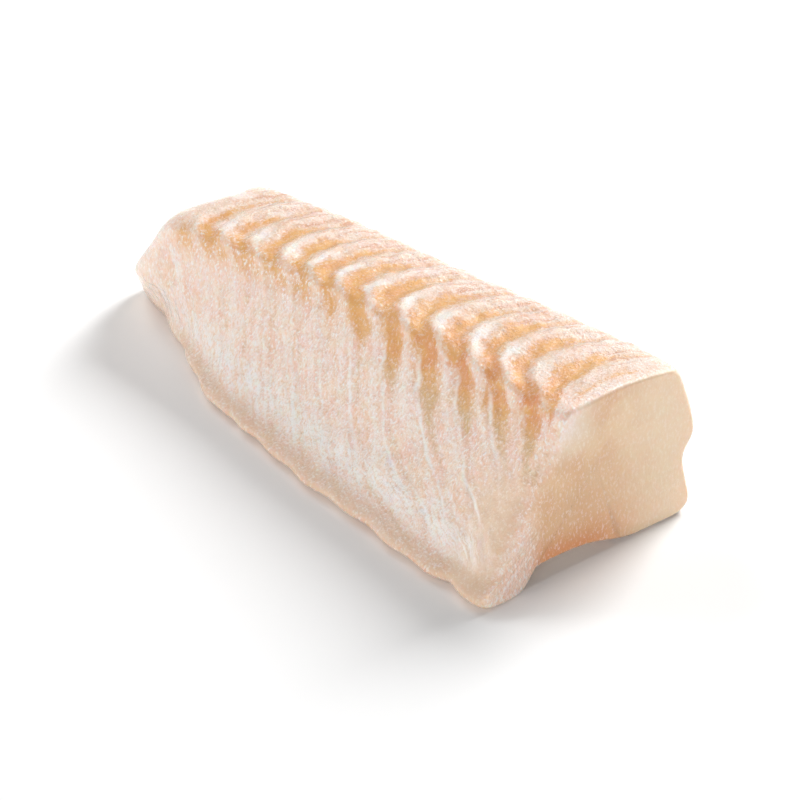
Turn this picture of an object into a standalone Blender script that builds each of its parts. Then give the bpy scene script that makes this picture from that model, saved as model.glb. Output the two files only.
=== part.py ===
"""A thick loin of salted cod, soaked and ready to cook: one solid piece of fish.

Metres, +Z up. X runs along the loin from the thinner tail end to the thick head end.
Y runs from the flared front side to the upright back side. The loin lies on z = 0.

The body is a cross-section carried along X. A slanting cut closes the tail end and an
upright cut closes the head end. Its flakes, the bands of muscle that run from the ridge
over the top and down the front side, are then raised in the surface as low relief.
"""

import math
from typing import NamedTuple

import bmesh
import bpy

NODE_NAME = "cod_loin"
FLESH_COLOUR = (0.86, 0.68, 0.53, 1.0)
FLESH_ROUGHNESS = 0.32


class Section(NamedTuple):
    """The sizes of the cross-section at one place along the loin."""

    x: float  # place along the loin
    lip: float  # y of the thin edge at the foot of the front side
    ridge: float  # y of the ridge between the front side and the top
    height: float  # z of the ridge
    shoulder: float  # y where the top turns down into the back side
    belly: float  # y of the widest part of the back side
    bulge: float  # how far the front side stands out, or is hollow, half way down


# Driving dimensions: the cross-section at five places, from the tail to the head.
SECTIONS = (
    # x, lip, ridge, height, shoulder, belly, bulge
    Section(-0.084, -0.0160, -0.0125, 0.0345, 0.0150, 0.0200, 0.0076),
    Section(-0.062, -0.0182, -0.0115, 0.0360, 0.0173, 0.0230, 0.0026),
    Section(-0.020, -0.0326, -0.0065, 0.0390, 0.0222, 0.0290, -0.0012),
    Section(0.035, -0.0358, -0.0040, 0.0428, 0.0260, 0.0340, -0.0022),
    Section(0.094, -0.0342, -0.0040, 0.0460, 0.0296, 0.0384, -0.0012),
)

# The rounded corner between the ridge and the front side.
CORNER_WIDTH = 0.0028
CORNER_DROP = 0.0016

# The two cuts.
TAIL_CUT_X = -0.0908  # where the slanting tail cut would meet the floor
TAIL_CUT_SLOPE = 0.67  # how far that cut leans towards the head for each metre of height
TAIL_UNDERCUT = 0.0048  # how far it draws back again at the floor
UNDERCUT_HEIGHT = 0.012
TAIL_ROUNDING = 0.0060
HEAD_CUT_X = 0.094
HEAD_ROUNDING = 0.0016
FRONT_ROUNDING = 0.0050  # the head cut's edge is rounder where it meets the front side
HEAD_LEAN = 0.045  # how far the head cut stands out for each metre below the ridge
FOOT_REACH = 0.0012  # how far the front corner of the head end stands out beyond that
ARCH_HEIGHT = 0.0050  # how far the underside lifts off the floor at the head cut
ARCH_LENGTH = 0.022
HEEL_INSET = 0.0013  # how far the foot of the back side lies behind its widest part
NOTCH_DEPTH = 0.0017  # the groove above that foot, at the head cut
HOLLOW_DEPTH = 0.0014  # the head cut is slightly dished

# The flakes.
FLAKE_PITCH = 0.01205
FLAKE_HEIGHT = 0.0010
FLAKE_PHASE = 0.43
FLAKE_DRIFT = 0.0014  # how far a flake lies at most from its place in an even row
TIPS_AT_TAIL = 0.0010  # how far a flake's tip lies behind the ridge, on the top
TIPS_AT_HEAD = 0.0040
TIP_ROUNDING = 0.0030
TIP_BEND = 0.011  # how far a flake runs towards the head within some 10 mm below its tip
BEND_LENGTH = 0.0060
FRONT_SLANT = 0.03  # along X for each metre down the front side
EXTRA_SLANT = 0.25  # more slant near the head
HEAD_STRETCH = 0.0025  # the last flakes before the head cut lie further apart
FRONT_BOW = 12.0  # a flake bows towards the head by this times its distance down squared
TOP_BOW = 6.0  # the same for its distance over the top
BACK_SLANT = 0.5

# The mesh.
RINGS = 90
ROUNDING_RINGS = 3
CUT_RINGS = 4


def smoothstep(low, high, value):
    """0 below low, 1 above high and an even S between them."""
    t = min(1.0, max(0.0, (value - low) / (high - low)))
    return t * t * (3.0 - 2.0 * t)


def hump(centre, width, value):
    """1 at the centre, falling off to nothing over about twice the width."""
    return math.exp(-(((value - centre) / width) ** 2))


def section_at(x):
    """The cross-section's sizes at x, on smooth curves through SECTIONS."""
    last = len(SECTIONS) - 1
    after = next((i for i in range(1, last) if x < SECTIONS[i].x), last)
    before = after - 1
    start, end = SECTIONS[before], SECTIONS[after]
    span = end.x - start.x
    t = (x - start.x) / span

    def slope(index, field):
        low, high = SECTIONS[max(index - 1, 0)], SECTIONS[min(index + 1, last)]
        return (high[field] - low[field]) / (high.x - low.x)

    sizes = [x]
    for field in range(1, len(start)):
        sizes.append(
            (2 * t**3 - 3 * t**2 + 1) * start[field]
            + (t**3 - 2 * t**2 + t) * span * slope(before, field)
            + (3 * t**2 - 2 * t**3) * end[field]
            + (t**3 - t**2) * span * slope(after, field)
        )
    return Section(*sizes)


def lip_wave(x):
    """The uneven run of the thin front edge, with a nick behind the foot and one half way."""
    wave = 0.0005 * math.sin(150.0 * x + 0.6) + 0.0004 * math.sin(390.0 * x)
    nicks = 0.0008 * hump(0.0815, 0.0030, x) + 0.0010 * hump(-0.0060, 0.0030, x)
    return wave + nicks - 0.0007 * hump(0.0885, 0.0035, x)


def front_line(s, lip, z):
    """y on the straight line down the front side, from its rounded top corner to the lip."""
    top = s.height - CORNER_DROP
    start = s.ridge - CORNER_WIDTH
    return start + (lip - start) * (top - z) / top


def arch(x, share):
    """How much the underside lifts at this share of its width: only near the head cut."""
    along = smoothstep(HEAD_CUT_X - ARCH_LENGTH, HEAD_CUT_X, x)
    across = smoothstep(0.14, 0.25, share) * (1.0 - smoothstep(0.40, 0.82, share))
    return along * across


def outline_corners(s):
    """The points that the outline runs through, each with the mesh steps to the next.

    It starts on the ridge and goes down the front side, under the loin and up the back.
    """
    lip = s.lip + lip_wave(s.x)
    heel = s.belly - HEEL_INSET
    notch = NOTCH_DEPTH * (0.30 + 0.70 * smoothstep(-0.030, 0.085, s.x))
    notch += 0.0004 * math.sin(85.0 * s.x)

    def front(z, fullness):
        return front_line(s, lip, z) - fullness * s.bulge, z

    def under(share):
        start, end = lip + 0.0040, heel - 0.0060
        y = start + (end - start) * share
        return y, ARCH_HEIGHT * arch(s.x, share)

    return (
        ((s.ridge, s.height), 1),
        ((s.ridge - CORNER_WIDTH, s.height - CORNER_DROP), 1),
        (front(0.87 * s.height, 0.45), 4),
        (front(0.62 * s.height, 0.72), 4),
        (front(0.38 * s.height, 1.00), 3),
        (front(0.0110, 0.75), 2),
        (front(0.0062, 0.30), 1),
        ((lip, 0.0033), 1),
        ((lip + 0.0012, 0.0009), 1),
        (under(0.0), 3),
        (under(0.14), 1),
        (under(0.20), 1),
        (under(0.26), 2),
        (under(0.52), 2),
        (under(0.76), 2),
        (under(1.0), 1),
        ((heel - 0.0014, 0.0012), 1),
        ((heel, 0.0045), 2),
        ((heel - notch, 0.36 * s.height), 3),
        ((s.belly, 0.54 * s.height), 3),
        ((s.shoulder + 0.0048, 0.84 * s.height), 2),
        ((s.shoulder + 0.0020, s.height - 0.0022), 1),
        ((s.shoulder - 0.0020, s.height - 0.0007), 4),
        ((0.5 * (s.ridge + s.shoulder), s.height + 0.0008), 5),
        ((s.ridge + 0.0040, s.height + 0.0004), 2),
    )


def outline(s):
    """Points of the closed outline: a Catmull-Rom curve through its corners, flat on z = 0."""
    corners = outline_corners(s)
    count = len(corners)
    points = []
    for i, ((y1, z1), steps) in enumerate(corners):
        (y0, z0), _ = corners[i - 1]
        (y2, z2), _ = corners[(i + 1) % count]
        (y3, z3), _ = corners[(i + 2) % count]
        for step in range(steps):
            t = step / steps
            near = -0.5 * t**3 + t**2 - 0.5 * t, 1.5 * t**3 - 2.5 * t**2 + 1.0
            far = -1.5 * t**3 + 2.0 * t**2 + 0.5 * t, 0.5 * t**3 - 0.5 * t**2
            y = near[0] * y0 + near[1] * y1 + far[0] * y2 + far[1] * y3
            z = near[0] * z0 + near[1] * z1 + far[0] * z2 + far[1] * z3
            points.append((y, max(z, 0.0)))
    return points


def tail_cut(y, z):
    """x of the tail cut: it leans towards the head as it rises and is drawn back at the floor."""
    low = max(0.0, 1.0 - z / UNDERCUT_HEIGHT)
    return TAIL_CUT_X + TAIL_CUT_SLOPE * z + TAIL_UNDERCUT * low**2 + 0.0006 * math.sin(230.0 * y)


def head_cut(y, z):
    """x of the head cut: upright, slightly dished, with the foot standing out in front."""
    foot = FOOT_REACH * (1.0 - smoothstep(-0.026, -0.014, y)) * hump(0.0, 0.016, z)
    hollow = HOLLOW_DEPTH * hump(0.010, 0.020, y) * hump(0.024, 0.016, z)
    lean = HEAD_LEAN * (SECTIONS[-1].height - z)
    return HEAD_CUT_X + lean + foot - hollow


def tail_rounding(y, z):
    """The radius of the tail cut's edge at a point of the outline."""
    return TAIL_ROUNDING


def head_rounding(y, z):
    """The radius of the head cut's edge: large on the front side, small elsewhere."""
    s = SECTIONS[-1]
    inside = y - front_line(s, s.lip, z)
    on_front = (1.0 - smoothstep(0.001, 0.007, inside)) * smoothstep(-0.006, 0.010, z)
    below_ridge = smoothstep(0.0, 0.012, s.height - z)
    return HEAD_ROUNDING + (FRONT_ROUNDING - HEAD_ROUNDING) * on_front * below_ridge


def ring_at(share):
    """One ring of points round the body, at this share of the way from tail to head."""
    middle_height = 0.5 * SECTIONS[0].height
    tail_x = tail_cut(0.0, middle_height) + TAIL_ROUNDING
    head_x = HEAD_CUT_X - HEAD_ROUNDING
    level_x = tail_x + share * (head_x - tail_x)
    points = []
    for y, z in outline(section_at(level_x)):
        to_tail = tail_cut(y, z) + tail_rounding(y, z) - tail_x
        to_head = head_cut(y, z) - head_rounding(y, z) - head_x
        x = level_x + (1.0 - share) ** 2 * to_tail + share**3 * to_head
        points.append((x, y, z))
    return points


def middle_of(ring):
    return sum(p[1] for p in ring) / len(ring), sum(p[2] for p in ring) / len(ring)


def rounded_ring(ring, cut, rounding, direction, angle):
    """The ring after this much of the quarter turn from the body's side onto the cut."""
    middle_y, middle_z = middle_of(ring)
    points = []
    for _, y, z in ring:
        radius = rounding(y, z)
        reach = math.hypot(y - middle_y, z - middle_z)
        keep = 1.0 - radius * (1.0 - math.cos(angle)) / reach
        new_y = middle_y + (y - middle_y) * keep
        new_z = middle_z + (z - middle_z) * keep
        back = radius * (1.0 - math.sin(angle))
        points.append((cut(new_y, new_z) - direction * back, new_y, new_z))
    return points


def cut_rings(ring, cut, rounding, direction):
    """The rings that round the edge of a cut and then close in on its middle."""
    turn = 0.5 * math.pi / ROUNDING_RINGS
    steps = range(1, ROUNDING_RINGS + 1)
    rings = [rounded_ring(ring, cut, rounding, direction, turn * step) for step in steps]
    middle_y, middle_z = middle_of(rings[-1])
    rim = rings[-1]
    for step in range(1, CUT_RINGS + 1):
        keep = 1.0 - step / (CUT_RINGS + 1)
        points = []
        for _, y, z in rim:
            new_y = middle_y + (y - middle_y) * keep
            new_z = middle_z + (z - middle_z) * keep
            points.append((cut(new_y, new_z), new_y, new_z))
        rings.append(points)
    return rings, (cut(middle_y, middle_z), middle_y, middle_z)


def distances_from_ridge(ring):
    """For each point of a ring, how far it lies from the ridge: down the front, then over the top."""
    down_front = [0.0]
    for (_, y0, z0), (_, y1, z1) in zip(ring, ring[1:]):
        down_front.append(down_front[-1] + math.hypot(y1 - y0, z1 - z0))
    _, y0, z0 = ring[-1]
    _, y1, z1 = ring[0]
    whole = down_front[-1] + math.hypot(y1 - y0, z1 - z0)
    over_top = [whole - down for down in down_front]
    return down_front, over_top


def flake_relief(x, y, z, down_front, over_top, s):
    """How far the surface stands out at a point, for the flake that lies there."""
    tips = TIPS_AT_TAIL + (TIPS_AT_HEAD - TIPS_AT_TAIL) * smoothstep(0.020, 0.080, x)
    from_tips = tips + (down_front if down_front < over_top else -over_top)
    rounded = math.hypot(from_tips, TIP_ROUNDING)
    down = 0.5 * (rounded + from_tips)
    over = 0.5 * (rounded - from_tips)

    top_width = s.shoulder - s.ridge
    slant = FRONT_SLANT + EXTRA_SLANT * smoothstep(0.040, 0.070, x)
    shift = TIP_BEND * math.tanh(down / BEND_LENGTH) + slant * down + FRONT_BOW * down**2
    shift += TOP_BOW * min(over, top_width) ** 2 + BACK_SLANT * max(0.0, over - top_width)
    shift += FLAKE_DRIFT * math.cos(63.0 * (x + 0.048)) + HEAD_STRETCH * smoothstep(0.068, 0.084, x)
    within = ((x - shift) / FLAKE_PITCH + FLAKE_PHASE + 0.05 * math.sin(130.0 * y)) % 1.0
    crest = math.sin(math.pi * within**0.8) ** 1.3

    strength = 1.0 - 0.65 * smoothstep(0.002, 0.024, down) - 0.5 * smoothstep(0.010, 0.035, over)
    off_floor = smoothstep(0.003, 0.010, z)
    off_tail = smoothstep(0.003, 0.014, x - tail_cut(y, z))
    off_head = smoothstep(0.004, 0.014, head_cut(y, z) - x)
    return FLAKE_HEIGHT * (crest - 0.5) * strength * off_floor * off_tail * off_head


def lumps(x, y, z):
    """The slow rise and fall of a soft piece of fish, nothing at the floor and the two cuts."""
    swell = math.sin(46.0 * x + 1.0) * math.sin(90.0 * y + 60.0 * z)
    off_cuts = smoothstep(0.0, 0.010, x - tail_cut(y, z)) * smoothstep(0.0, 0.008, head_cut(y, z) - x)
    return 0.0006 * swell * smoothstep(0.002, 0.012, z) * off_cuts


def add_ring(mesh, ring):
    return [mesh.verts.new(point) for point in ring]


def join_rings(mesh, first, second):
    for i, corner in enumerate(first):
        beside = (i + 1) % len(first)
        mesh.faces.new((corner, first[beside], second[beside], second[i]))


def build_body(mesh):
    """The whole smooth skin: the tail cut, the body's rings and the head cut."""
    body = [ring_at(i / (RINGS - 1)) for i in range(RINGS)]
    tail, tail_centre = cut_rings(body[0], tail_cut, tail_rounding, -1.0)
    head, head_centre = cut_rings(body[-1], head_cut, head_rounding, 1.0)
    body_verts = [add_ring(mesh, ring) for ring in body]
    tail_verts = [add_ring(mesh, ring) for ring in tail]
    head_verts = [add_ring(mesh, ring) for ring in head]
    for rings in (body_verts, [body_verts[0], *tail_verts], [body_verts[-1], *head_verts]):
        for first, second in zip(rings, rings[1:]):
            join_rings(mesh, first, second)
    for rim, centre in ((tail_verts[-1], tail_centre), (head_verts[-1], head_centre)):
        hub = mesh.verts.new(centre)
        for i, corner in enumerate(rim):
            mesh.faces.new((corner, rim[(i + 1) % len(rim)], hub))
    bmesh.ops.recalc_face_normals(mesh, faces=mesh.faces)
    return body, body_verts


def raise_flakes(mesh, body, body_verts):
    """Moves the body's points along their normals, out for a flake and in between two."""
    mesh.normal_update()
    for ring, verts in zip(body, body_verts):
        down_front, over_top = distances_from_ridge(ring)
        for i, ((x, y, z), vert) in enumerate(zip(ring, verts)):
            s = section_at(min(max(x, SECTIONS[0].x), SECTIONS[-1].x))
            height = flake_relief(x, y, z, down_front[i], over_top[i], s) + lumps(x, y, z)
            vert.co += height * vert.normal
            vert.co.z = max(vert.co.z, 0.0)


def rest_on_origin(mesh):
    """Moves the loin so that the middle of its box lies over the origin, with its foot on z = 0."""
    for axis in (0, 1):
        places = [vert.co[axis] for vert in mesh.verts]
        middle = 0.5 * (min(places) + max(places))
        for vert in mesh.verts:
            vert.co[axis] -= middle


def flesh_material():
    material = bpy.data.materials.new("cod flesh")
    material.use_nodes = True
    shader = material.node_tree.nodes["Principled BSDF"]
    shader.inputs["Base Color"].default_value = FLESH_COLOUR
    shader.inputs["Roughness"].default_value = FLESH_ROUGHNESS
    shader.inputs["Metallic"].default_value = 0.0
    return material


def make_loin():
    mesh = bmesh.new()
    body, body_verts = build_body(mesh)
    raise_flakes(mesh, body, body_verts)
    rest_on_origin(mesh)
    bmesh.ops.triangulate(mesh, faces=mesh.faces)
    data = bpy.data.meshes.new(NODE_NAME)
    mesh.to_mesh(data)
    mesh.free()
    data.shade_smooth()
    data.materials.append(flesh_material())
    loin = bpy.data.objects.new(NODE_NAME, data)
    bpy.context.scene.collection.objects.link(loin)
    return loin


def main():
    for old in list(bpy.data.objects):
        bpy.data.objects.remove(old)
    make_loin()


main()
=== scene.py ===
"""A loin of salted cod, soaked and ready to cook: its finished surface, floor, light and camera.

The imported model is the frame. One piece, the flesh, stands for its solid. Its surface is worked
out on a grid: the cross-section of the loin carried from the tail cut to the head cut, with the
flakes of the muscle raised on it.
"""

import math
from functools import partial

import bpy
import numpy as np
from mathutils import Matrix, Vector


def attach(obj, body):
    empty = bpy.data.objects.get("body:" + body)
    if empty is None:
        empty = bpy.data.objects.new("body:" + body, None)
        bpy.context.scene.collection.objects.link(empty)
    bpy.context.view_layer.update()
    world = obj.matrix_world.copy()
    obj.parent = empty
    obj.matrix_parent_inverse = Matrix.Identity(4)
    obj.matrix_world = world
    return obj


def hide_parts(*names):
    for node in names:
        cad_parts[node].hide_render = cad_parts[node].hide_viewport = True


bl_info = {
    "name": "Salted cod loin",
    "version": (1, 0, 0),
    "blender": (4, 5, 0),
    "location": "3D View > Sidebar > Cod loin",
    "description": "Builds the flesh of a salted cod loin, with its studio floor, light and camera",
    "category": "Object",
}

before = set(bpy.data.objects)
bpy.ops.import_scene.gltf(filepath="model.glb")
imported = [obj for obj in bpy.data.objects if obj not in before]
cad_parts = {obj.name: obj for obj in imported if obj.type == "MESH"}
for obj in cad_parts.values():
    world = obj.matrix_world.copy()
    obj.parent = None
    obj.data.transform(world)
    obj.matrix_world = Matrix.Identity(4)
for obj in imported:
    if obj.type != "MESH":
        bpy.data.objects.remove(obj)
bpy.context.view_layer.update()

# The cross-section at five places, from the tail to the head, in metres:
# x, lip, ridge, height, shoulder, belly, bulge of the front side.
SECTIONS = np.array(
    (
        (-0.084, -0.0160, -0.0125, 0.0345, 0.0150, 0.0200, 0.0076),
        (-0.062, -0.0182, -0.0115, 0.0360, 0.0173, 0.0230, 0.0026),
        (-0.020, -0.0326, -0.0065, 0.0390, 0.0222, 0.0290, -0.0012),
        (0.035, -0.0358, -0.0040, 0.0428, 0.0260, 0.0340, -0.0022),
        (0.094, -0.0342, -0.0040, 0.0460, 0.0296, 0.0384, -0.0012),
    )
)
# The rounded corner along the ridge, the two cuts, the arch and the heel, in metres.
CORNER_WIDTH, CORNER_DROP = 0.0028, 0.0016
TAIL_CUT_X, TAIL_CUT_SLOPE, TAIL_UNDERCUT, UNDERCUT_HEIGHT = -0.0908, 0.67, 0.0048, 0.012
TAIL_ROUNDING = 0.0060
HEAD_CUT_X, HEAD_ROUNDING, FRONT_ROUNDING = 0.094, 0.0016, 0.0050
HEAD_LEAN, FOOT_REACH, HOLLOW_DEPTH = 0.045, 0.0012, 0.0014
ARCH_HEIGHT, ARCH_LENGTH, HEEL_INSET, NOTCH_DEPTH = 0.0050, 0.022, 0.0013, 0.0017
FOOT_EDGE = -0.0190

# The flakes' tips: how far behind the ridge they lie, on the top, and how rounded they are.
TIPS_AT_TAIL, TIPS_AT_HEAD, TIP_ROUNDING = 0.0010, 0.0040, 0.0030
# The flakes' run: the length of the bend below a tip, the bow down the front, the slant down the
# back and the extra slant of the front near the head.
BEND_LENGTH, FRONT_BOW, BACK_SLANT, HEAD_SLANT = 0.0060, 12.0, 0.5, 0.25
# The flakes' places: where the first one stands, and how far they wander, in flakes.
FLAKE_PHASE, FLAKE_WANDER = 0.01, 0.05
# The flakes' form: where a trough lies, and the powers that lean and sharpen a crest.
TROUGH_PHASE, CREST_LEAN, CREST_POWER = 0.42, 0.8, 2.0
# Slow lumps and two sizes of fine unevenness, in metres.
LUMP_HEIGHT, FINE_HEIGHT, FINEST_HEIGHT = 0.0006, 0.00016, 0.00010

RINGS = 250
ROUNDING_RINGS = 6
CUT_RINGS = 14

# The names under which each point of the flesh keeps three numbers for its material.
NUMBERS = ("flake", "looks", "tips", "foot", "ends")


# Numbers


def smoothstep(low, high, value):
    """0 below low, 1 above high and 3 t squared minus 2 t cubed between them."""
    t = np.clip((value - low) / (high - low), 0.0, 1.0)
    return t * t * (3.0 - 2.0 * t)


def fade(low, high, value):
    """1 below low and 0 above high: one minus the smooth step."""
    return 1.0 - smoothstep(low, high, value)


def hump(centre, width, value):
    """e to the power of minus the squared distance from the centre, in widths."""
    return np.exp(-(((value - centre) / width) ** 2))


def waves(x, y, z, size, seed):
    """Smooth uneven noise, mostly from -1 to 1: the sum of six sine waves about size long, each in
    its own direction, over three."""
    draw = np.random.default_rng(seed)
    total = np.zeros_like(x)
    for _ in range(6):
        way = draw.normal(size=3)
        way *= 2.0 * math.pi / (size * draw.uniform(0.7, 1.5) * np.linalg.norm(way))
        total += np.sin(way[0] * x + way[1] * y + way[2] * z + draw.uniform(0.0, 2.0 * math.pi))
    return total / 3.0


# The surface of the loin


def sections_at(x):
    """The section's six sizes at each x: the cubic through SECTIONS whose slope at each row is
    that of the chord between its two neighbours."""
    rows = len(SECTIONS)
    before = np.clip(np.searchsorted(SECTIONS[:, 0], x) - 1, 0, rows - 2)
    low = np.maximum(np.arange(rows) - 1, 0)
    high = np.minimum(np.arange(rows) + 1, rows - 1)
    slopes = (SECTIONS[high] - SECTIONS[low]) / (SECTIONS[high, :1] - SECTIONS[low, :1])
    start, end = SECTIONS[before], SECTIONS[before + 1]
    span = end[:, :1] - start[:, :1]
    t = (x[:, None] - start[:, :1]) / span
    sizes = (
        (2 * t**3 - 3 * t**2 + 1) * start
        + (t**3 - 2 * t**2 + t) * span * slopes[before]
        + (3 * t**2 - 2 * t**3) * end
        + (t**3 - t**2) * span * slopes[before + 1]
    )
    return sizes[:, 1:].T


def lip_wave(x):
    """The uneven run of the thin front edge: two sine waves, two nicks and a swell by the foot."""
    wave = 0.0005 * np.sin(150.0 * x + 0.6) + 0.0004 * np.sin(390.0 * x)
    nicks = 0.0008 * hump(0.0815, 0.0030, x) + 0.0010 * hump(-0.0060, 0.0030, x)
    return wave + nicks - 0.0007 * hump(0.0885, 0.0035, x)


def front_line(ridge, height, lip, z):
    """y on the straight line down the front side, from its rounded top corner to the lip."""
    top = height - CORNER_DROP
    start = ridge - CORNER_WIDTH
    return start + (lip - start) * (top - z) / top


def outlines(x):
    """The closed outline at each x: a Catmull-Rom curve through its corners, in the order ridge,
    front side, underside, back side, top. Arrays of y and z, one row for each x."""
    lip, ridge, height, shoulder, belly, bulge = sections_at(x)
    lip = lip + lip_wave(x)
    heel = belly - HEEL_INSET
    notch = NOTCH_DEPTH * (0.30 + 0.70 * smoothstep(-0.030, 0.085, x)) + 0.0004 * np.sin(85.0 * x)
    arch = ARCH_HEIGHT * smoothstep(HEAD_CUT_X - ARCH_LENGTH, HEAD_CUT_X, x)
    flat = np.zeros_like(x)

    def front(z, fullness):
        """A corner of the front side: the straight line's y, less a share of the bulge."""
        z = z + flat
        return front_line(ridge, height, lip, z) - fullness * bulge, z

    def under(share):
        """A corner of the underside: a share of the way to the heel, raised by the arch."""
        start, end = lip + 0.0040, heel - 0.0060
        across = smoothstep(0.14, 0.25, share) * fade(0.40, 0.82, share)
        return start + (end - start) * share, arch * across

    # Each corner's y and z, and the number of points from it to the next corner.
    corners = (
        (ridge, height, 6),
        (ridge - CORNER_WIDTH, height - CORNER_DROP, 8),
        (*front(0.87 * height, 0.45), 22),
        (*front(0.62 * height, 0.72), 22),
        (*front(0.38 * height, 1.00), 16),
        (*front(0.0110, 0.75), 10),
        (*front(0.0062, 0.30), 6),
        (lip, 0.0033 + flat, 5),
        (lip + 0.0012, 0.0009 + flat, 5),
        (*under(0.0), 5),
        (*under(0.14), 4),
        (*under(0.20), 4),
        (*under(0.26), 6),
        (*under(0.52), 6),
        (*under(0.76), 6),
        (*under(1.0), 5),
        (heel - 0.0014, 0.0012 + flat, 5),
        (heel, 0.0045 + flat, 12),
        (heel - notch, 0.36 * height, 14),
        (belly, 0.54 * height, 18),
        (shoulder + 0.0048, 0.84 * height, 12),
        (shoulder + 0.0020, height - 0.0022, 8),
        (shoulder - 0.0020, height - 0.0007, 30),
        (0.5 * (ridge + shoulder), height + 0.0008, 28),
        (ridge + 0.0040, height + 0.0004, 10),
    )
    y = np.stack([corner[0] for corner in corners], axis=1)
    z = np.stack([corner[1] for corner in corners], axis=1)
    steps = [corner[2] for corner in corners]
    at = np.repeat(np.arange(len(corners)), steps)
    t = np.concatenate([np.arange(n) / n for n in steps])
    weights = (
        -0.5 * t**3 + t**2 - 0.5 * t,
        1.5 * t**3 - 2.5 * t**2 + 1.0,
        -1.5 * t**3 + 2.0 * t**2 + 0.5 * t,
        0.5 * t**3 - 0.5 * t**2,
    )
    picks = [(at + shift) % len(corners) for shift in (-1, 0, 1, 2)]
    curve_y = sum(weight * y[:, pick] for weight, pick in zip(weights, picks))
    curve_z = sum(weight * z[:, pick] for weight, pick in zip(weights, picks))
    return curve_y, np.maximum(curve_z, 0.0)


def tail_cut(y, z):
    """x of the tail cut: a plane that leans towards the head as it rises, drawn back by a square
    near the floor, with a slow sine wave across it."""
    low = np.maximum(0.0, 1.0 - z / UNDERCUT_HEIGHT)
    return TAIL_CUT_X + TAIL_CUT_SLOPE * z + TAIL_UNDERCUT * low**2 + 0.0006 * np.sin(230.0 * y)


def head_cut(y, z):
    """x of the head cut: an upright plane, leaning a little, dished, with the foot standing out."""
    foot = FOOT_REACH * fade(-0.026, -0.014, y) * hump(0.0, 0.016, z)
    hollow = HOLLOW_DEPTH * hump(0.010, 0.020, y) * hump(0.024, 0.016, z)
    return HEAD_CUT_X + HEAD_LEAN * (SECTIONS[-1, 3] - z) + foot - hollow


def head_rounding(y, z):
    """The radius of the head cut's edge: large on the front side, small elsewhere."""
    _, lip, ridge, height = SECTIONS[-1, :4]
    inside = y - front_line(ridge, height, lip, z)
    on_front = fade(0.001, 0.007, inside) * smoothstep(-0.006, 0.010, z)
    below_ridge = smoothstep(0.0, 0.012, height - z)
    return HEAD_ROUNDING + (FRONT_ROUNDING - HEAD_ROUNDING) * on_front * below_ridge


def cut_face(rings):
    """1 on the flat of the head cut, and 0 by its soft front edge and on the foot, where the pale
    front side turns into it: a smooth step of y from the front line, or from the foot's edge."""
    _, lip, ridge, height = SECTIONS[-1, :4]
    y, z = rings[..., 1], rings[..., 2]
    edge = np.maximum(front_line(ridge, height, lip, z) + 0.0005, FOOT_EDGE)
    return smoothstep(edge - 0.0012, edge + 0.0070, y)


def body_grid():
    """The body's rings. A ring starts level at one x, and is then moved along X point by point to
    meet the two cuts: by (1 - share) squared of the way to the tail cut's edge, and by share
    cubed of the way to the head cut's edge."""
    share = np.linspace(0.0, 1.0, RINGS)[:, None]
    tail_x = tail_cut(0.0, 0.5 * SECTIONS[0, 3]) + TAIL_ROUNDING
    head_x = HEAD_CUT_X - HEAD_ROUNDING
    level_x = tail_x + share * (head_x - tail_x)
    y, z = outlines(level_x[:, 0])
    to_tail = tail_cut(y, z) + TAIL_ROUNDING - tail_x
    to_head = head_cut(y, z) - head_rounding(y, z) - head_x
    x = level_x + (1.0 - share) ** 2 * to_tail + share**3 * to_head
    return np.stack((x, y, z), axis=-1)


def grid_normals(grid):
    """Outward unit normals of a grid of rings: the cross product of its two central differences."""
    along = np.gradient(grid, axis=0)
    round_it = np.roll(grid, -1, axis=1) - np.roll(grid, 1, axis=1)
    normals = np.cross(round_it, along)
    return normals / np.linalg.norm(normals, axis=-1, keepdims=True)


def distances_from_ridge(grid):
    """Each point's distance from the ridge along the outline, down the front and over the top: the
    running sum of the steps between points."""
    steps = np.linalg.norm((np.roll(grid, -1, axis=1) - grid)[..., 1:], axis=-1)
    sums = np.cumsum(steps, axis=1)
    down_front = np.concatenate((np.zeros((len(grid), 1)), sums[:, :-1]), axis=1)
    return down_front, np.sum(steps, axis=1, keepdims=True) - down_front


def cut_rings(ring, cut, radius, direction):
    """The rings that close one end. Through a quarter turn they follow a circle of the edge's
    radius from the body's side onto the cut, then they shrink evenly towards the middle."""
    middle = ring[:, 1:].mean(axis=0)
    arms = ring[:, 1:] - middle
    reach = np.linalg.norm(arms, axis=1)
    rings = []
    for angle in np.linspace(0.0, 0.5 * math.pi, ROUNDING_RINGS + 1)[1:]:
        keep = 1.0 - radius * (1.0 - math.cos(angle)) / reach
        y, z = (middle + arms * keep[:, None]).T
        x = cut(y, z) - direction * radius * (1.0 - math.sin(angle))
        rings.append(np.stack((x, y, z), axis=-1))
    painted_rim_highlight = rings[-1][:, 1:]
    centre = painted_rim_highlight.mean(axis=0)
    for keep in np.linspace(1.0, 0.0, CUT_RINGS + 2)[1:-1]:
        y, z = (centre + (painted_rim_highlight - centre) * keep).T
        rings.append(np.stack((cut(y, z), y, z), axis=-1))
    hub = np.array((cut(*centre), *centre))
    return np.array(rings), hub


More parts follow.
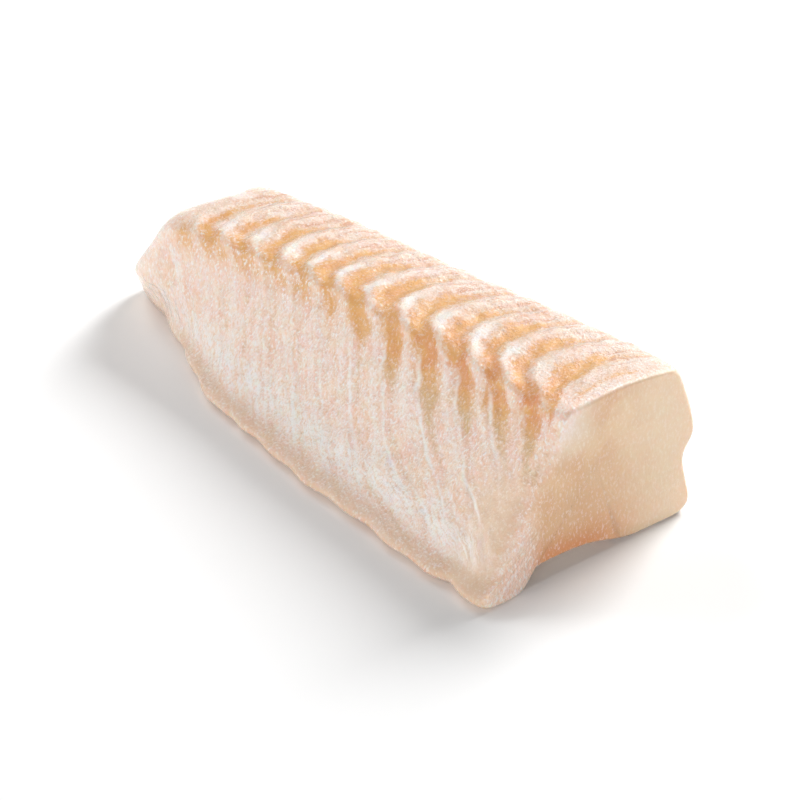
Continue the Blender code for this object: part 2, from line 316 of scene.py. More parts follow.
def flake_band(x, y, down, over, top_width, sizes):
    """The number of the flake at each point, whole on its crest and a half in the trough after it.

    Down the front a flake runs towards the head, by a hyperbolic tangent near its tip and by a
    straight line and a square further down. Over the top it bows as a parabola, and down the
    back it follows a straight line. A cosine and three smooth steps along the loin set the
    flakes a little closer together or further apart."""
    slant = sizes.front_slant + HEAD_SLANT * smoothstep(0.040, 0.070, x)
    front = sizes.tip_bend * np.tanh(down / BEND_LENGTH) + slant * down + FRONT_BOW * down**2
    top = sizes.top_bow * np.minimum(over, top_width) ** 2
    back = BACK_SLANT * np.maximum(0.0, over - top_width)
    drift = 0.0014 * np.cos(63.0 * (x + 0.048)) - 0.0032 * fade(-0.060, -0.015, x)
    drift = drift + 0.0025 * smoothstep(0.068, 0.084, x) - 0.0040 * smoothstep(0.084, 0.093, x)
    wander = FLAKE_WANDER * np.sin(130.0 * y)
    return (x - front - top - back - drift) / sizes.flake_pitch + FLAKE_PHASE + wander


def flake_relief(x, band, down, over, to_tail, to_head, height):
    """How far the flakes raise the surface: the height times a power of a sine, less a half.

    The sine runs once from trough to trough over a power of the place between them. Smooth steps
    make it weaker down the front, down the back and in the tail half, and end it at the cuts."""
    strength = 1.0 - 0.65 * smoothstep(0.002, 0.024, down) - 0.5 * smoothstep(0.010, 0.035, over)
    strength = strength * smoothstep(0.003, 0.014, to_tail) * smoothstep(0.004, 0.014, to_head)
    strength = strength * (1.0 - smoothstep(0.006, 0.016, down) * fade(0.015, 0.045, to_tail))
    tail_half = fade(-0.010, 0.050, x)
    strength = strength * (1.0 - 0.5 * tail_half * smoothstep(0.001, 0.005, down))
    within = (band + TROUGH_PHASE) % 1.0
    crest = np.sin(math.pi * within**CREST_LEAN) ** CREST_POWER
    return height * (crest - 0.5) * strength


def surface_masks(grid, from_ridge, down, over, top_width, to_tail, to_head):
    """Where each look of the flesh lies, from 0 to 1: products of smooth steps and humps of the
    distances, in metres, to the flakes' tips, the ridge, the cuts and the floor."""
    on_front = from_ridge > 0.0
    x, y, z = np.moveaxis(grid, -1, 0)
    share = over / top_width

    # Tan streaks reach 13 mm down the front by the tail and 33 mm by the head, and thin out
    # towards the back of the top.
    reach = 0.013 + 0.020 * smoothstep(-0.010, 0.065, x) + 0.004 * waves(x, y, z, 0.020, 3)
    weaker = 0.65 * fade(-0.020, 0.040, x) * smoothstep(0.0, 0.005, down)
    front_tan = (1.0 - 0.95 * smoothstep(0.30 * reach, reach, down)) * (1.0 - weaker)
    top_tan = 1.0 - 0.75 * smoothstep(0.42, 0.75, share) - 0.20 * smoothstep(1.0, 1.6, share)
    top_tan = top_tan * (0.62 + 0.38 * smoothstep(-0.060, 0.000, x))
    tan = np.where(on_front, front_tan, top_tan)
    tan = tan * smoothstep(0.0050, 0.0100, to_tail) * smoothstep(0.0015, 0.0070, to_head)

    # White sinew lines run down the front only, and a painted sheen, a white highlight of the wet
    # film, lies 10 mm above the floor.
    lines = smoothstep(0.007, 0.016, down) - smoothstep(0.042, 0.050, down)
    lines = lines * smoothstep(0.040, 0.100, to_tail) * smoothstep(0.008, 0.016, to_head)
    lines = np.where(on_front, lines, 0.0)
    painted_sheen = np.where(on_front, hump(0.0100, 0.0035, z), 0.0)
    painted_sheen = painted_sheen * smoothstep(0.012, 0.045, to_tail) * smoothstep(0.0, 0.015, to_head)

    # The flakes' tips get a painted white highlight, where the wet crests shine, and the back of
    # the top has thin lines. The streaks are deepest in colour by the ridge, and near the head also
    # 8 mm below it.
    crest_highlight = hump(0.0042, 0.0038, over) * smoothstep(0.006, 0.012, to_tail)
    crest_highlight = crest_highlight * smoothstep(0.010, 0.030, to_head)
    back = smoothstep(0.25, 0.60, share) * fade(1.1, 1.5, share)
    back = back * smoothstep(0.004, 0.010, to_head)
    deep_front = hump(0.0080, 0.0055, down) * smoothstep(0.010, 0.055, x)
    hot = np.where(on_front, deep_front, 0.55 * hump(0.0, 0.010, over))

    # A mottled tan band lies below the ridge, mostly near the tail. The flesh is calm by the foot
    # of the head cut, and thin at the lip.
    mottle = smoothstep(-0.003, 0.001, from_ridge) * fade(0.006, 0.013, from_ridge)
    mottle = mottle * (1.0 - 0.65 * smoothstep(-0.010, 0.050, x))
    mottle = mottle * smoothstep(0.005, 0.012, to_tail) * smoothstep(0.006, 0.016, to_head)
    calm = np.where(on_front, smoothstep(0.018, 0.034, down), 0.0) * fade(0.010, 0.024, to_head)
    lip = np.where(on_front, fade(0.0010, 0.0085, z), 0.0)
    return (tan, lines, painted_sheen), (crest_highlight, back, hot), (mottle, calm, lip)


def loin_surface(sizes):
    """All points of the flesh, its faces, and the numbers that its material reads.

    Each body point moves along its normal by the flake relief, slow lumps, which are a product
    of two sine waves, and fine uneven noise. All of them die away at the cuts and the floor."""
    grid = body_grid()
    x, y, z = np.moveaxis(grid, -1, 0)
    down_front, over_top = distances_from_ridge(grid)
    level = np.clip(x.ravel(), SECTIONS[0, 0], SECTIONS[-1, 0])
    _, ridge, _, shoulder, _, _ = sections_at(level)
    top_width = (shoulder - ridge).reshape(x.shape)
    to_tail, to_head = x - tail_cut(y, z), head_cut(y, z) - x
    from_ridge = np.where(down_front < over_top, down_front, -over_top)
    tips = TIPS_AT_TAIL + (TIPS_AT_HEAD - TIPS_AT_TAIL) * smoothstep(0.020, 0.080, x)
    from_tips = from_ridge + tips
    rounded = np.hypot(from_tips, TIP_ROUNDING)
    down, over = 0.5 * (rounded + from_tips), 0.5 * (rounded - from_tips)
    band = flake_band(x, y, down, over, top_width, sizes)

    off_floor = smoothstep(0.003, 0.010, z)
    off_ends = smoothstep(0.0, 0.010, to_tail) * smoothstep(0.0, 0.008, to_head)
    relief = flake_relief(x, band, down, over, to_tail, to_head, sizes.flake_height)
    lumps = LUMP_HEIGHT * np.sin(46.0 * x + 1.0) * np.sin(90.0 * y + 60.0 * z)
    lumps = lumps * smoothstep(0.002, 0.012, z)
    fine = FINE_HEIGHT * waves(x, y, z, 0.0060, 7) + FINEST_HEIGHT * waves(x, y, z, 0.0030, 8)
    lift = relief * off_floor + (lumps + fine * off_floor) * off_ends
    body = grid + lift[..., None] * grid_normals(grid)
    body[..., 2] = np.maximum(body[..., 2], 0.0)

    masks = surface_masks(grid, from_ridge, down, over, top_width, to_tail, to_head)
    flake = np.stack((band, from_tips * 1000.0, x * 1000.0), axis=-1)
    fields = (flake, *(np.stack(three, axis=-1) for three in masks))
    parts = [(body, *fields, np.zeros_like(body))]
    hubs = []
    for ring, rounding, cut, way in (
        (0, np.full(grid.shape[1], TAIL_ROUNDING), tail_cut, -1.0),
        (-1, head_rounding(y[-1], z[-1]), head_cut, 1.0),
    ):
        rings, hub = cut_rings(grid[ring], cut, rounding, way)
        count = len(rings)
        turned = np.minimum(np.arange(1, count + 1) / ROUNDING_RINGS, 1.0)[:, None]
        on_cut = smoothstep(0.15, 0.85, turned) + 0.0 * rings[..., 0]
        none = np.zeros_like(on_cut)
        on_tail, on_head = (on_cut, none) if way < 0 else (none, on_cut * cut_face(rings))
        rings = rings + fade(0.0, 1.0, turned)[..., None] * (body[ring] - grid[ring])
        rings[..., 2] = np.maximum(rings[..., 2], 0.0)
        end_flake = np.broadcast_to(flake[ring], (count, *flake[ring].shape))
        end_masks = [(1.0 - on_cut)[..., None] * field[ring] for field in fields[1:]]
        ends = np.stack((on_head, on_tail, none), axis=-1)
        parts.append((rings, end_flake, *end_masks, ends))
        nothing = (0.0, 0.0, 0.0)
        hub_ends = (float(way > 0), float(way < 0), 0.0)
        hubs.append((hub, flake[ring].mean(axis=0), nothing, nothing, nothing, hub_ends))
    return closed_mesh(parts, hubs)


def closed_mesh(parts, hubs):
    """Joins the body's rings and the two ends' rings into one closed skin of quads, with a fan of
    triangles round each hub. Returns points, quads, triangles and the numbers at each point."""
    around = parts[0][0].shape[1]
    starts = np.cumsum([0, *(len(part[0]) * around for part in parts)])
    fields = []
    for field in range(len(hubs[0])):
        rows = [part[field].reshape(-1, 3) for part in parts]
        rows.append(np.array([hub[field] for hub in hubs]))
        fields.append(np.concatenate(rows))
    here = np.arange(around)
    beside = (here + 1) % around

    def strip(first, second):
        return np.stack((first + here, second + here, second + beside, first + beside), axis=-1)

    def fan(first, second, hub):
        return np.stack((first, second, np.full(around, hub)), axis=-1)

    body_rows = [i * around for i in range(len(parts[0][0]))]
    tail_rows = [0, *(starts[1] + i * around for i in range(len(parts[1][0])))]
    head_rows = [body_rows[-1], *(starts[2] + i * around for i in range(len(parts[2][0])))]
    forward = [strip(a, b) for rows in (body_rows, head_rows) for a, b in zip(rows, rows[1:])]
    backward = [strip(b, a) for a, b in zip(tail_rows, tail_rows[1:])]
    tail_fan = fan(tail_rows[-1] + here, tail_rows[-1] + beside, starts[3])
    head_fan = fan(head_rows[-1] + beside, head_rows[-1] + here, starts[3] + 1)
    return fields, np.concatenate(forward + backward), np.concatenate((tail_fan, head_fan))


def mesh_object(name, points, quads, triangles):
    """One mesh object from arrays of points, four-cornered faces and three-cornered faces."""
    mesh = bpy.data.meshes.new(name)
    corners = np.concatenate((quads.ravel(), triangles.ravel())).astype(np.int32)
    quad_starts = 4 * np.arange(len(quads))
    triangle_starts = 4 * len(quads) + 3 * np.arange(len(triangles))
    starts = np.concatenate((quad_starts, triangle_starts)).astype(np.int32)
    mesh.vertices.add(len(points))
    mesh.vertices.foreach_set("co", points.astype(np.float32).ravel())
    mesh.loops.add(len(corners))
    mesh.loops.foreach_set("vertex_index", corners)
    mesh.polygons.add(len(starts))
    mesh.polygons.foreach_set("loop_start", starts)
    mesh.update(calc_edges=True)
    mesh.validate()
    mesh.shade_smooth()
    piece = bpy.data.objects.new(name, mesh)
    bpy.context.scene.collection.objects.link(piece)
    return piece


def set_numbers(mesh, name, values):
    """Stores three numbers at each point, under a name that the material reads."""
    layer = mesh.attributes.new(name, "FLOAT_VECTOR", "POINT")
    layer.data.foreach_set("vector", values.astype(np.float32).ravel())


# Materials


def linear(hex_colour):
    """An sRGB hex colour such as "F2E0D0" as linear red, green, blue and alpha 1."""
    shares = [int(hex_colour[i : i + 2], 16) / 255.0 for i in (0, 2, 4)]
    return (*(s / 12.92 if s <= 0.04045 else ((s + 0.055) / 1.055) ** 2.4 for s in shares), 1.0)


# The nodes by short names: Blender's type, its settings, the inputs that values fill in order,
# and the output that is read. A step is smooth, from two values of its input to two results.
NODES = {
    "place": ("ShaderNodeTexCoord", {}, (), "Object"),
    "numbers": ("ShaderNodeAttribute", {}, (), "Vector"),
    "split": ("ShaderNodeSeparateXYZ", {}, (0,), 0),
    "join": ("ShaderNodeCombineXYZ", {}, (0, 1), 0),
    "stretch": ("ShaderNodeVectorMath", {"operation": "MULTIPLY"}, (0, 1), 0),
    "plus": ("ShaderNodeMath", {"operation": "ADD"}, (0, 1), 0),
    "minus": ("ShaderNodeMath", {"operation": "SUBTRACT"}, (0, 1), 0),
    "times": ("ShaderNodeMath", {"operation": "MULTIPLY"}, (0, 1), 0),
    "larger": ("ShaderNodeMath", {"operation": "MAXIMUM"}, (0, 1), 0),
    "fraction": ("ShaderNodeMath", {"operation": "FRACT"}, (0,), 0),
    "unsigned": ("ShaderNodeMath", {"operation": "ABSOLUTE"}, (0,), 0),
    "step": (
        "ShaderNodeMapRange",
        {"interpolation_type": "SMOOTHSTEP"},
        ("Value", "From Min", "From Max", "To Min", "To Max"),
        0,
    ),
    "mix": ("ShaderNodeMix", {"data_type": "RGBA"}, (0, 6, 7), 2),
    "noise": ("ShaderNodeTexNoise", {}, ("Vector", "Scale", "Detail", "Roughness"), 0),
    "bump": ("ShaderNodeBump", {}, ("Strength", "Distance", "Height"), 0),
}


def add(tree, name, *values, **settings):
    """Adds a node of NODES, fills its inputs with values or links, and returns its output. While
    values are left, one more such node joins the output and the next value."""
    kind, own_settings, inputs, output = NODES[name]
    node = tree.nodes.new(kind)
    for setting, value in {**own_settings, **settings}.items():
        setattr(node, setting, value)
    for key, value in zip(inputs, values):
        if isinstance(value, bpy.types.NodeSocket):
            tree.links.new(value, node.inputs[key])
        else:
            node.inputs[key].default_value = value
    left = values[len(inputs) :]
    return add(tree, name, node.outputs[output], *left) if left else node.outputs[output]


def cod_flesh(looks):
    """Raw cod, soaked after salting: pale, wet flesh that scatters light under a film of water.

    Tan streaks lie in the troughs between flakes, and fine white sinew lines run down the front
    side. Both cuts are smooth, the head cut a little darker and the tail cut pale. Lengths are in
    millimetres here, so a noise of scale 0.5 is about 2 mm across."""
    material = bpy.data.materials.new("raw cod flesh")
    material.use_nodes = True
    tree = material.node_tree
    shader = tree.nodes["Principled BSDF"]
    node = partial(add, tree)
    colour = {name: linear(getattr(looks, name)) for name in LoinLooks.__annotations__}

    flake, masks, tips, foot, ends = (
        node("split", node("numbers", attribute_name=name)).node.outputs for name in NUMBERS
    )
    band, down, along = flake
    tan, lines, painted_sheen = masks
    crest_highlight, back, hot = tips
    mottle, calm, lip = foot
    on_head, on_tail, _ = ends
    place = node("place")
    mm = node("stretch", place, (1000.0, 1000.0, 1000.0))
    _, across, up = node("split", mm).node.outputs

    def from_middle(phase):
        """How far the phase's fraction lies from one half, without its sign."""
        return node("unsigned", node("minus", node("fraction", phase), 0.5))

    # The flakes' edges wander by a twelfth of a flake over 7 mm and are frayed at 1.5 mm.
    wander = node("times", node("minus", node("noise", mm, 0.14), 0.5), 0.40)
    fray = node("times", node("minus", node("noise", mm, 0.7, 3.0), 0.5), 0.22)
    warped = node("plus", band, wander, fray)
    from_trough = from_middle(warped)

    # A streak's half width, in flakes, is up to 0.35 on the top and 0.46 on the front. It varies
    # in patches 8 mm across and is speckled at 1 mm.
    patches = node("step", node("noise", mm, 0.13), 0.30, 0.62, 0.65, 1.15)
    widest = node("step", down, -1.0, 5.0, 0.35, 0.46)
    speckle = node("minus", node("noise", mm, 1.0, 4.0, 0.65), 0.5)
    width = node("plus", node("times", tan, patches, widest), node("times", speckle, 0.55))
    streak = node("step", node("minus", width, from_trough), -0.10, 0.26)

    # Threads run along the flakes: coarse ones 2 mm apart and 14 mm long, fine ones 0.8 mm apart.
    def threads_at(per_flake, per_mm, detail):
        run = node("join", node("times", warped, per_flake), node("times", down, per_mm))
        return node("noise", run, 1.0, detail, 0.6)

    threads = threads_at(5.5, 0.07, 3.0)
    fine = threads_at(15.0, 0.28, 2.0)
    pores = node("noise", node("stretch", place, (1000.0, 1000.0, 600.0)), 1.35, 3.0, 0.7)

    # The flesh is pinker in blotches 6 mm across and pale by the tail. It is duller on the top and
    # lighter on the front: painted shade on the top and painted light on the front, which even out
    # the stronger light that falls on the top.
    blotches = node("step", node("noise", mm, 0.16, 3.0), 0.38, 0.62)
    flesh = node("mix", blotches, colour["flesh"], colour["flesh_pink"])
    flesh = node("mix", node("step", down, -4.0, 3.0), colour["flesh_top"], flesh)
    flesh = node("mix", node("step", threads, 0.40, 0.70, 0.0, 0.50), flesh, colour["white"])
    flesh = node("mix", node("step", threads, 0.48, 0.30, 0.0, 0.45), flesh, colour["band"])
    flesh = node("mix", node("step", along, -60.0, -82.0, 0.0, 0.8), flesh, colour["tail"])

    # The streaks are tan, orange where they are deepest, and duller from 11 mm down the front.
    deepest = node("times", hot, node("step", node("noise", mm, 0.22), 0.34, 0.60))
    streaks = node("mix", deepest, colour["tan"], colour["orange"])
    streaks = node("mix", node("step", down, 11.0, 20.0), streaks, colour["olive"])
    streak_share = node("times", streak, node("step", threads, 0.25, 0.6, 1.0, 0.85))
    body = node("mix", streak_share, flesh, streaks)
    spots = node("step", node("noise", mm, 0.35, 4.0, 0.65), 0.34, 0.58, 0.30, 0.75)
    body = node("mix", node("times", mottle, spots), body, colour["tan"])
    body = node("mix", calm, body, colour["band"])

    # At the back of the top each streak frays into three thin pinkish lines. Crests by the tips are
    # painted white: a painted highlight of the wet film.
    hair_phase = node("plus", node("times", warped, 3.0), node("times", threads, 1.5))
    hairs = node("step", from_middle(hair_phase), 0.05, 0.22, 1.0, 0.0)
    hair_share = node("times", hairs, back, node("step", patches, 0.6, 1.1, 0.30, 0.90))
    body = node("mix", hair_share, body, colour["hair"])
    uneven_edge = node("times", node("minus", fine, 0.5), 0.3)
    on_crest = node("step", node("plus", from_trough, uneven_edge), 0.30, 0.46)
    body = node("mix", node("times", crest_highlight, on_crest, 0.95), body, colour["white"])

    # Sinew: a soft white line about 1 mm wide to a flake, fainter in places, down the front only.
    line_phase = node("plus", band, node("times", wander, 0.8), 0.22)
    uneven_line = node("times", node("minus", pores, 0.5), 0.10)
    from_line = node("plus", from_middle(line_phase), uneven_line)
    faint_places = node("step", node("noise", mm, 0.09), 0.36, 0.56, 0.35, 1.0)
    sinew = node("times", node("step", from_line, 0.0, 0.085, 0.9, 0.0), lines, faint_places)
    body = node("mix", sinew, body, colour["white"])

    # A painted white sheen, the highlight of the wet film, lies above the lip, broken up by the
    # threads into painted glints. The lip is smooth and pinker.
    painted_glints = node("step", node("plus", threads, fine), 0.80, 1.15, 0.20, 1.0)
    body = node("mix", node("times", painted_sheen, painted_glints), body, colour["white"])
    body = node("mix", node("times", node("step", lip, 0.10, 0.60), 0.70), body, colour["band"])
    thin_places = node("step", node("noise", mm, 0.12), 0.35, 0.6, 0.3, 0.8)
    edge = node("times", node("step", lip, 0.70, 0.97), thin_places)
    body = node("mix", edge, body, colour["lip"])

    # The head cut: paler towards the back, a painted highlight where the cut faces the lights, and
    # paler by its corner at the ridge; deep tan along its lower edge, where light that came through
    # the flesh shows.
    cut = node("mix", node("step", up, 38.0, 4.0), colour["cut_top"], colour["cut_low"])
    clouds = node("step", node("noise", mm, 0.10, 3.0), 0.4, 0.65, 0.0, 0.7)
    cut = node("mix", clouds, cut, colour["cut_low"])
    cut = node("mix", node("step", across, 0.0, 30.0, 0.0, 0.70), cut, colour["cut_back"])
    high = node("step", up, 28.0, 42.0, 0.0, 0.9)
    cut = node("mix", node("times", node("step", across, 8.0, -6.0), high), cut, colour["tail"])
    near_edge = node("times", node("step", up, 15.0, 4.0), node("step", across, 20.0, -4.0))
    cut = node("mix", near_edge, cut, colour["glow"])
    # A painted white highlight runs along the rounded top edge of the head cut, over its shade.
    high_rim = node("step", up, 30.0, 43.0, 0.0, 0.9)
    painted_rim_highlight = node("times", on_head, node("minus", 1.0, on_head), high_rim)
    body = node("mix", on_head, body, cut)
    body = node("mix", painted_rim_highlight, body, colour["white"])
    body = node("mix", on_tail, body, colour["tail"])

    # The wet film lies over threads and pores 0.4 to 0.8 mm across, which break its gloss up. The
    # cuts, the tail's end, the lip and the calm flesh are smoother.
    near_tail = node("larger", on_tail, node("step", along, -66.0, -84.0, 0.0, 0.8))
    smooth_place = node("larger", on_head, near_tail, node("step", lip, 0.10, 0.60, 0.0, 0.5), calm)
    grainy = node("minus", 1.0, node("times", smooth_place, 0.65))
    # White flecks on the pores are painted glints of the wet film, fewer on the streaks and in the
    # smooth places.
    off_streaks = node("minus", 1.0, node("times", streak, 0.6))
    glint_flecks = node("times", grainy, off_streaks, node("step", down, -8.0, 4.0, 0.65, 0.95))
    glint_flecks = node("times", glint_flecks, node("step", pores, 0.52, 0.64))
    body = node("mix", glint_flecks, body, colour["white"])
    dark_flecks = node("times", grainy, node("step", pores, 0.47, 0.34, 0.0, 0.36))
    body = node("mix", dark_flecks, body, colour["tan"])
    dents = node("noise", mm, 0.6)
    heights = ((pores, 0.70), (threads, 0.35), (fine, 0.25), (dents, 0.40))
    bumps = node("plus", *(node("times", pattern, height) for pattern, height in heights))
    bumps = node("plus", node("times", bumps, grainy), node("times", sinew, 0.10))
    bump = node("bump", 1.0, 0.0006, bumps)
    roughness = node("step", node("noise", mm, 0.9), 0.3, 0.7, 0.36, 0.50)
    for socket, value in (
        ("Base Color", body), ("Roughness", roughness), ("Normal", bump), ("Coat Normal", bump)
    ):
        tree.links.new(value, shader.inputs[socket])

    # Light goes a few millimetres into the flesh, red furthest. The coat is the film of water.
    for socket, value in (
        ("IOR", 1.38),
        ("Subsurface Weight", 0.55),
        ("Subsurface Radius", (1.0, 0.45, 0.25)),
        ("Subsurface Scale", 0.0035),
        ("Coat Weight", 1.0),
        ("Coat Roughness", 0.09),
        ("Coat IOR", 1.33),
    ):
        shader.inputs[socket].default_value = value
    return material


def studio_paper(colour):
    """Seamless studio paper: matt, coated white card stock that takes soft shadows evenly. Its
    tooth, about 1 mm across, is coarser than paper's so that it can show."""
    material = bpy.data.materials.new("white studio paper")
    material.use_nodes = True
    tree = material.node_tree
    shader = tree.nodes["Principled BSDF"]
    tooth = add(tree, "noise", add(tree, "place"), 900.0)
    tree.links.new(add(tree, "bump", 0.05, 0.0002, tooth), shader.inputs["Normal"])
    shader.inputs["Base Color"].default_value = linear(colour)
    shader.inputs["Roughness"].default_value = 0.9
    shader.inputs["Specular IOR Level"].default_value = 0.1
    return material


# Settings


class LoinSizes(bpy.types.PropertyGroup):
    """The sizes of the flakes."""

    flake_pitch: bpy.props.FloatProperty(
        name="Flake pitch", description="From one flake's crest to the next along the ridge",
        default=0.01205, min=0.004, max=0.03, unit="LENGTH",
    )
    flake_height: bpy.props.FloatProperty(
        name="Flake height", description="From a trough to the crest beside it, by the ridge",
        default=0.0010, min=0.0, max=0.004, unit="LENGTH",
    )
    tip_bend: bpy.props.FloatProperty(
        name="Tip bend",
        description="How far a flake runs towards the head within some 10 mm of its tip",
        default=0.011, min=0.0, max=0.03, unit="LENGTH",
    )
    front_slant: bpy.props.FloatProperty(
        name="Front slant",
        description="How far a flake runs towards the head for its way down the front",
        default=0.03, min=0.0, max=3.0, subtype="FACTOR",
    )
    top_bow: bpy.props.FloatProperty(
        name="Top bow",
        description="How strongly a flake bows towards the head on its way over the top",
        default=6.0, min=0.0, max=30.0,
    )


class LoinLooks(bpy.types.PropertyGroup):
    """The colours of the flesh, as sRGB hex."""

    flesh: bpy.props.StringProperty(
        name="Flesh", description="Flesh of the front side", default="F9DAC5"
    )
    flesh_pink: bpy.props.StringProperty(
        name="Pinker flesh", description="Pinker patches of the front side", default="F7D1C0"
    )
    # Painted shade: the top's flesh is duller than the front's, to even out the stronger light on
    # the top.
    flesh_top: bpy.props.StringProperty(
        name="Top flesh", description="Flesh of the top", default="ECCFBC"
    )
    hair: bpy.props.StringProperty(
        name="Hair lines", description="Thin lines at the top's back", default="DDA98A"
    )
    # White is also used for painted highlights: on the crests, in the sheen and glints, and on the
    # head cut's rim.
    white: bpy.props.StringProperty(
        name="White", description="Sinew, threads and crests", default="FFF5F0"
    )
    tan: bpy.props.StringProperty(
        name="Tan", description="Streaks between the flakes", default="E9AD60"
    )
    band: bpy.props.StringProperty(
        name="Band", description="Smooth flesh above the lip", default="E6C9AD"
    )
    orange: bpy.props.StringProperty(
        name="Orange", description="Deepest parts of the streaks", default="DE8A4A"
    )
    olive: bpy.props.StringProperty(
        name="Dull tan", description="Lower ends of the streaks on the front side", default="DAB483"
    )
    lip: bpy.props.StringProperty(
        name="Lip", description="The thin front edge", default="E8B99A"
    )
    cut_top: bpy.props.StringProperty(
        name="Cut, high", description="Head cut by the top", default="E9C69E"
    )
    cut_low: bpy.props.StringProperty(
        name="Cut, low", description="Head cut by the floor", default="DFB085"
    )
    glow: bpy.props.StringProperty(
        name="Glow", description="Head cut's lower edge, where light shows through",
        default="D98F58",
    )
    # Painted light: the back of the head cut, which faces the lights, is paler.
    cut_back: bpy.props.StringProperty(
        name="Cut, back", description="Head cut by the back", default="F3E0C4"
    )
    tail: bpy.props.StringProperty(
        name="Tail", description="The tail's smooth end", default="EFE0CE"
    )


class StudioSettings(bpy.types.PropertyGroup):
    """The floor, the lights and the camera."""

    floor: bpy.props.StringProperty(
        name="Floor", description="Colour of the floor, as sRGB hex", default="FEFEFE"
    )
    back_power: bpy.props.FloatProperty(
        name="Back light",
        description="Power of the large light behind, which casts the soft shadow",
        default=12.6, min=0.0, unit="POWER",
    )
    gloss_power: bpy.props.FloatProperty(
        name="Gloss light",
        description="Power of the long light past the tail, seen in the wet flakes",
        default=3.1, min=0.0, unit="POWER",
    )
    left_power: bpy.props.FloatProperty(
        name="Left card", description="Light from the low white card by the tail",
        default=3.1, min=0.0, unit="POWER",
    )
    front_power: bpy.props.FloatProperty(
        name="Front card", description="Light from the low white card under the camera",
        default=3.3, min=0.0, unit="POWER",
    )
    right_power: bpy.props.FloatProperty(
        name="Right card", description="Light from the low white card by the head cut",
        default=1.4, min=0.0, unit="POWER",
    )
    sky: bpy.props.FloatProperty(
        name="Sky", description="Strength of the even white light all round", default=0.09, min=0.0
    )
    azimuth: bpy.props.FloatProperty(
        name="Azimuth", description="Where the camera stands round the loin",
        default=math.radians(52.0), subtype="ANGLE",
    )
    elevation: bpy.props.FloatProperty(
        name="Elevation", description="How far the camera looks down",
        default=math.radians(33.0), subtype="ANGLE",
    )
    distance: bpy.props.FloatProperty(
        name="Distance", description="From the camera to the point it looks at",
        default=0.6372, min=0.1, unit="LENGTH",
    )
    aim: bpy.props.FloatVectorProperty(
        name="Aim", description="The point the camera looks at",
        default=(0.02997, -0.01173, 0.0220), subtype="XYZ", unit="LENGTH",
    )
    lens: bpy.props.FloatProperty(
        name="Lens", description="Focal length in millimetres on a sensor 36 mm wide",
        default=110.0, min=20.0,
    )


# The studio

# The lights: name, setting that holds the power, width and height in metres, turn from +X towards
# +Y and rise above the floor in degrees. All aim at one point.
LIGHTS = (
    ("back light", "back_power", 0.42, 0.46, 99.0, 37.0),
    ("gloss light", "gloss_power", 0.64, 0.16, 184.0, 46.0),
    ("left card", "left_power", 0.5, 0.5, 230.0, 14.0),
    ("front card", "front_power", 0.5, 0.5, 310.0, 14.0),
    ("right card", "right_power", 0.5, 0.5, 350.0, 15.0),
)
LIGHTS_AIM = Vector((0.02, 0.0, 0.02))
FLOOR_REACH, FLOOR_LINES = 2.0, 9


def turned_to(item, aim, way):
    """Places a light or camera at the aim plus the way, and turns it to look back along the way."""
    item.location = aim + way
    item.rotation_euler = way.to_track_quat("Z", "Y").to_euler()
    bpy.context.scene.collection.objects.link(item)


def area_light(name, power, width, height, turn, rise):
    """A rectangular area light, 1 m from the point that it aims at."""
    turn, rise = math.radians(turn), math.radians(rise)
    flat = math.cos(rise)
    lamp = bpy.data.lights.new(name, "AREA")
    lamp.energy = power
    lamp.shape = "RECTANGLE"
    lamp.size, lamp.size_y = width, height
    way = Vector((math.cos(turn) * flat, math.sin(turn) * flat, math.sin(rise)))
    turned_to(bpy.data.objects.new(name, lamp), LIGHTS_AIM, way)


# Operators


class OBJECT_OT_cod_flesh(bpy.types.Operator):
    """Builds the loin's flesh, which stands for the solid"""

    bl_idname = "object.cod_flesh"
    bl_label = "Flesh of the loin"

    def execute(self, context):
        fields, quads, triangles = loin_surface(context.scene.loin_sizes)
        points, *numbers = fields
        middle = 0.5 * (points.min(axis=0) + points.max(axis=0))
        points = points - np.array((middle[0], middle[1], 0.0))
        piece = mesh_object("flesh", points, quads, triangles)
        if len(piece.data.vertices) != len(points):
            raise RuntimeError("the flesh lost points when its mesh was made")
        for name, values in zip(NUMBERS, numbers):
            set_numbers(piece.data, name, values)
        piece.data.materials.append(cod_flesh(context.scene.loin_looks))
        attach(piece, "root")
        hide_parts("cod_loin")
        return {"FINISHED"}


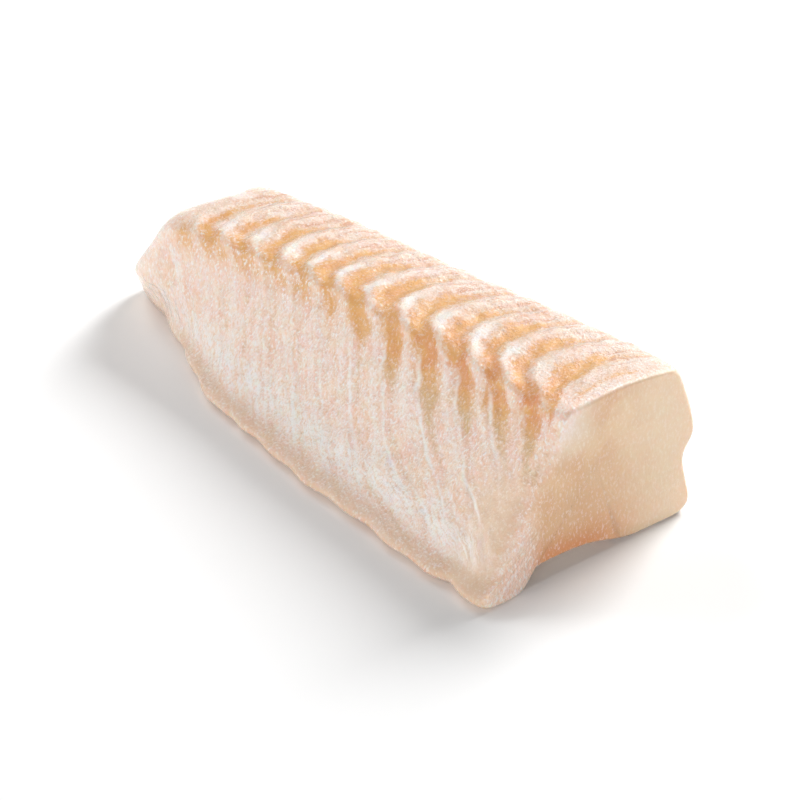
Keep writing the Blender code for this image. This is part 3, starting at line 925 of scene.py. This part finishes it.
class OBJECT_OT_cod_studio(bpy.types.Operator):
    """Builds the pale floor, the soft studio light and the camera"""

    bl_idname = "object.cod_studio"
    bl_label = "Floor, light and camera"

    def execute(self, context):
        scene = context.scene
        settings = scene.loin_studio
        across = np.linspace(-FLOOR_REACH, FLOOR_REACH, FLOOR_LINES)
        grid = np.stack(np.meshgrid(across, across, [0.0], indexing="ij"), axis=-1).reshape(-1, 3)
        corner = np.arange(FLOOR_LINES - 1)
        first = (corner[:, None] * FLOOR_LINES + corner).ravel()
        next_row = first + FLOOR_LINES
        quads = np.stack((first, next_row, next_row + 1, first + 1), axis=-1)
        floor = mesh_object("floor", grid, quads, np.zeros((0, 3)))
        floor.data.materials.append(studio_paper(settings.floor))

        world = bpy.data.worlds.new("even white light")
        world.use_nodes = True
        background = world.node_tree.nodes["Background"]
        background.inputs["Color"].default_value = (1.0, 1.0, 1.0, 1.0)
        background.inputs["Strength"].default_value = settings.sky
        scene.world = world
        for name, power, *shape in LIGHTS:
            area_light(name, getattr(settings, power), *shape)

        camera = bpy.data.objects.new("camera", bpy.data.cameras.new("camera"))
        camera.data.lens = settings.lens
        camera.data.sensor_width = 36.0
        camera.data.clip_start = 0.01
        turn, rise = settings.azimuth, settings.elevation
        flat = math.cos(rise)
        way = Vector((math.sin(turn) * flat, -math.cos(turn) * flat, math.sin(rise)))
        turned_to(camera, Vector(settings.aim), way * settings.distance)
        scene.camera = camera
        scene.view_settings.view_transform = "Standard"
        return {"FINISHED"}


class VIEW3D_PT_cod_loin(bpy.types.Panel):
    """Lists the loin's settings and its two steps"""

    bl_label = "Cod loin"
    bl_space_type = "VIEW_3D"
    bl_region_type = "UI"
    bl_category = "Cod loin"

    def draw(self, context):
        for group, operator in (
            ("loin_sizes", None),
            ("loin_looks", "object.cod_flesh"),
            ("loin_studio", "object.cod_studio"),
        ):
            settings = getattr(context.scene, group)
            box = self.layout.box()
            for name in settings.bl_rna.properties.keys():
                if name not in ("rna_type", "name"):
                    box.prop(settings, name)
            if operator:
                box.operator(operator)


CLASSES = (
    LoinSizes,
    LoinLooks,
    StudioSettings,
    OBJECT_OT_cod_flesh,
    OBJECT_OT_cod_studio,
    VIEW3D_PT_cod_loin,
)


def register():
    for cls in CLASSES:
        bpy.utils.register_class(cls)
    bpy.types.Scene.loin_sizes = bpy.props.PointerProperty(type=LoinSizes)
    bpy.types.Scene.loin_looks = bpy.props.PointerProperty(type=LoinLooks)
    bpy.types.Scene.loin_studio = bpy.props.PointerProperty(type=StudioSettings)


def unregister():
    del bpy.types.Scene.loin_sizes
    del bpy.types.Scene.loin_looks
    del bpy.types.Scene.loin_studio
    for cls in reversed(CLASSES):
        bpy.utils.unregister_class(cls)


def main():
    register()
    bpy.ops.object.cod_flesh()
    bpy.ops.object.cod_studio()


if __name__ == "__main__":
    main()
